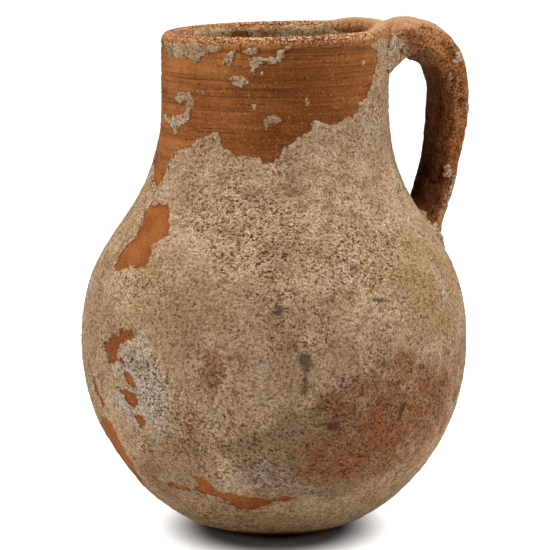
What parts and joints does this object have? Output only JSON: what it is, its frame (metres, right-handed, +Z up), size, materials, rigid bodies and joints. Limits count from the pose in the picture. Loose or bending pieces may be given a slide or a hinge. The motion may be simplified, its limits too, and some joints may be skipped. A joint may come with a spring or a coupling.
{
  "type": "pottery jug",
  "caption": "Round-bodied clay jug with a wide neck, a rounded lip and a strap handle from rim to shoulder, covered in a worn lime crust.",
  "frame": {"origin": "centre of the flat base, on the floor", "axes": "+Z up, +X towards the handle"},
  "size_m": [0.1498, 0.1472, 0.193],
  "materials": {
    "fired_clay": "matt unglazed, wheel-marked",
    "luting_clay": "matt unglazed, finger-smeared",
    "lime_crust": "rough, granular and pitted",
    "mouth_deposit": "rough soil deposit"
  },
  "bodies": {
    "root": {"body": "fired_clay", "neck": "fired_clay", "handle": "fired_clay", "handle_rim_collar": "luting_clay", "handle_foot_collar": "luting_clay", "crust_sheet": "lime_crust", "neck_crust_1": "lime_crust", "neck_crust_2": "lime_crust", "neck_crust_3": "lime_crust", "neck_crust_4": "lime_crust", "neck_crust_5": "lime_crust", "neck_crust_6": "lime_crust", "neck_crust_7": "lime_crust", "strap_crust_root": "lime_crust", "strap_crust_bend": "lime_crust", "strap_crust_foot": "lime_crust", "mouth_deposit": "mouth_deposit"}
  },
  "joints": []
}
